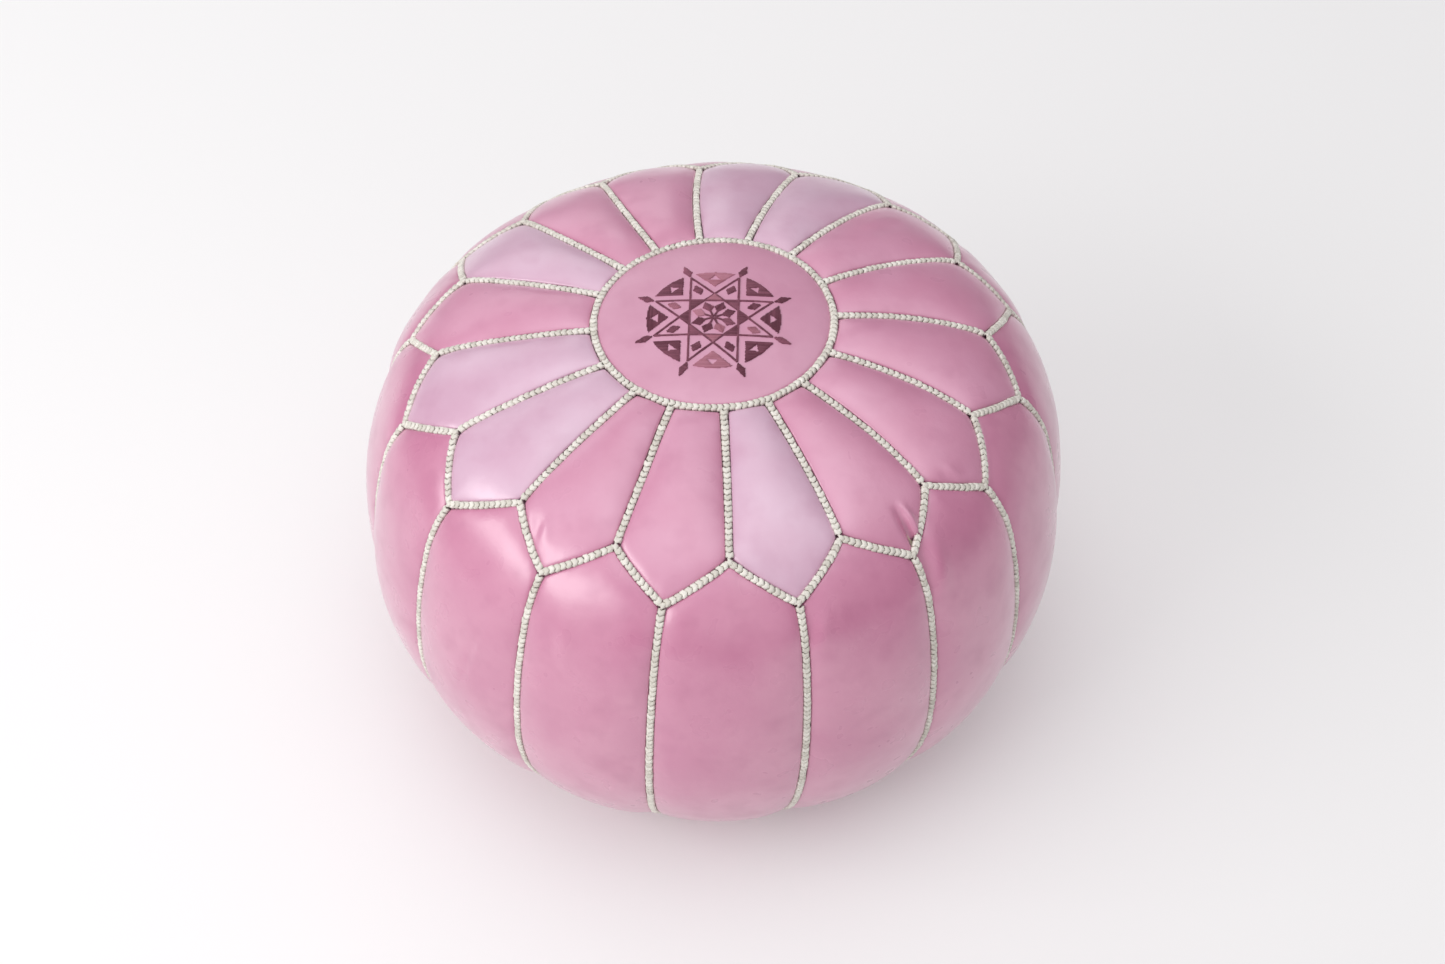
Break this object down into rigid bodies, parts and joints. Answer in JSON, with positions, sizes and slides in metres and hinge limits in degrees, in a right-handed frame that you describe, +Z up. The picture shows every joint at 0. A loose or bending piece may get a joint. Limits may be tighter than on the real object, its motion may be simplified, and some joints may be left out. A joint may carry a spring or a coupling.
{
  "type": "leather pouf",
  "caption": "Low round floor cushion in stitched leather: a star medallion, pointed petals and tall side panels joined by thread braids, with a zipped base.",
  "frame": {"origin": "on the floor, under the middle of the base", "axes": "+Z up along the pouf's axis; the zip lies along X, and the front seam peak of the star petals faces -Y"},
  "size_m": [0.53, 0.53, 0.3356],
  "materials": {
    "leather_disc": "waxed leather",
    "leather_pink": "waxed leather",
    "leather_lilac": "waxed leather",
    "leather_side": "waxed leather",
    "leather_base": "waxed leather",
    "thread_ecru": "twisted thread",
    "thread_plum": "twisted thread",
    "thread_rose": "twisted thread",
    "zip_tape": "woven tape",
    "zip_brass": "plain brass",
    "calico": "plain weave",
    "filling": "loose cotton waste"
  },
  "bodies": {
    "pouf": {"medallion": "leather_disc", "petal_01": "leather_lilac", "petal_02": "leather_pink", "petal_03": "leather_pink", "petal_04": "leather_pink", "petal_05": "leather_pink", "petal_06": "leather_pink", "petal_07": "leather_lilac", "petal_08": "leather_lilac", "petal_09": "leather_pink", "petal_10": "leather_pink", "petal_11": "leather_lilac", "petal_12": "leather_pink", "petal_13": "leather_lilac", "petal_14": "leather_lilac", "petal_15": "leather_pink", "petal_16": "leather_pink", "side_panel_01": "leather_side", "side_panel_02": "leather_side", "side_panel_03": "leather_side", "side_panel_04": "leather_side", "side_panel_05": "leather_side", "side_panel_06": "leather_side", "side_panel_07": "leather_side", "side_panel_08": "leather_side", "side_panel_09": "leather_side", "side_panel_10": "leather_side", "side_panel_11": "leather_side", "side_panel_12": "leather_side", "side_panel_13": "leather_side", "side_panel_14": "leather_side", "side_panel_15": "leather_side", "side_panel_16": "leather_side", "medallion_braid": "thread_ecru", "petal_seam_braids": "thread_ecru", "zigzag_braids": "thread_ecru", "side_seam_braids": "thread_ecru", "base_braid": "thread_ecru", "base_half_front": "leather_base", "base_half_back": "leather_base", "embroidery_outline": "thread_plum", "embroidery_plum_fills": "thread_plum", "embroidery_rose_fills": "thread_rose", "inner_bag": "calico", "stuffing": "filling", "zip_tape_front": "zip_tape", "zip_tape_back": "zip_tape", "zip_teeth_front": "zip_brass", "zip_teeth_back": "zip_brass", "zip_end_stops": "zip_brass", "zip_foot_stop": "zip_brass"},
    "slider": {"zip_slider": "zip_brass"},
    "pull": {"zip_pull_tab": "zip_brass"}
  },
  "joints": [
    {"name": "zip_slide", "type": "slide", "parent": "pouf", "child": "slider", "axis": [-1, 0, 0], "range_m": [0, 0.2], "deforming": ["zip_teeth_front", "zip_teeth_back"]},
    {"name": "pull_pivot", "type": "hinge", "parent": "slider", "child": "pull", "pos_m": [0.102, 0, 0.0068], "axis": [0, -1, 0], "range_deg": [0, 180]}
  ]
}
